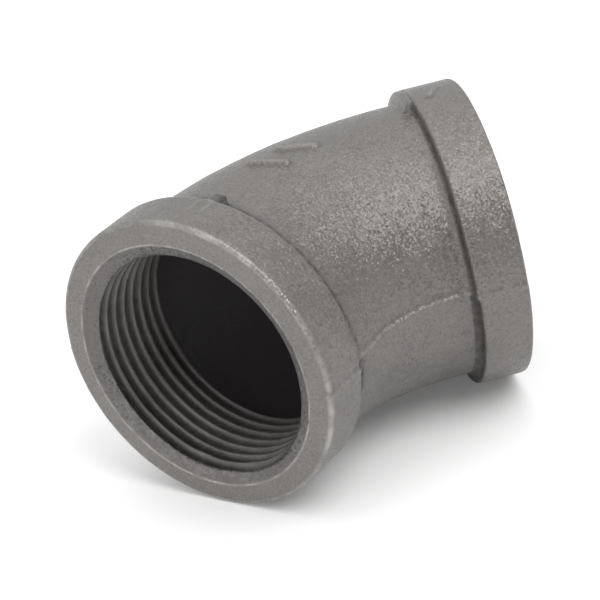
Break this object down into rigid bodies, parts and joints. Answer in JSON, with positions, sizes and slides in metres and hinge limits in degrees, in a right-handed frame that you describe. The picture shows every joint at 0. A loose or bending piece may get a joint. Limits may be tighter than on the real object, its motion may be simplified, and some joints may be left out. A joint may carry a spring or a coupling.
{
  "type": "pipe elbow",
  "caption": "45 degree banded pipe elbow in black malleable iron, 1 1/4 in, internally threaded at both ends, with cast marks and a parting line.",
  "frame": {"origin": "the middle of port A's threaded socket, on its axis, 9 mm in from its end face; the two port axes cross 24 mm along +X from it", "axes": "port A opens along -X; port B opens along +X-Y at 45 degrees to +X; the bend lies in the XY plane with its inside on the -Y side; +Z is the elbow's upper side when it lies on its side"},
  "size_m": [0.0749, 0.0682, 0.0533],
  "materials": {
    "black_iron": "as-cast, sandy, dull black-grey skin"
  },
  "bodies": {
    "root": {"elbow_casting": "black_iron"}
  },
  "joints": []
}
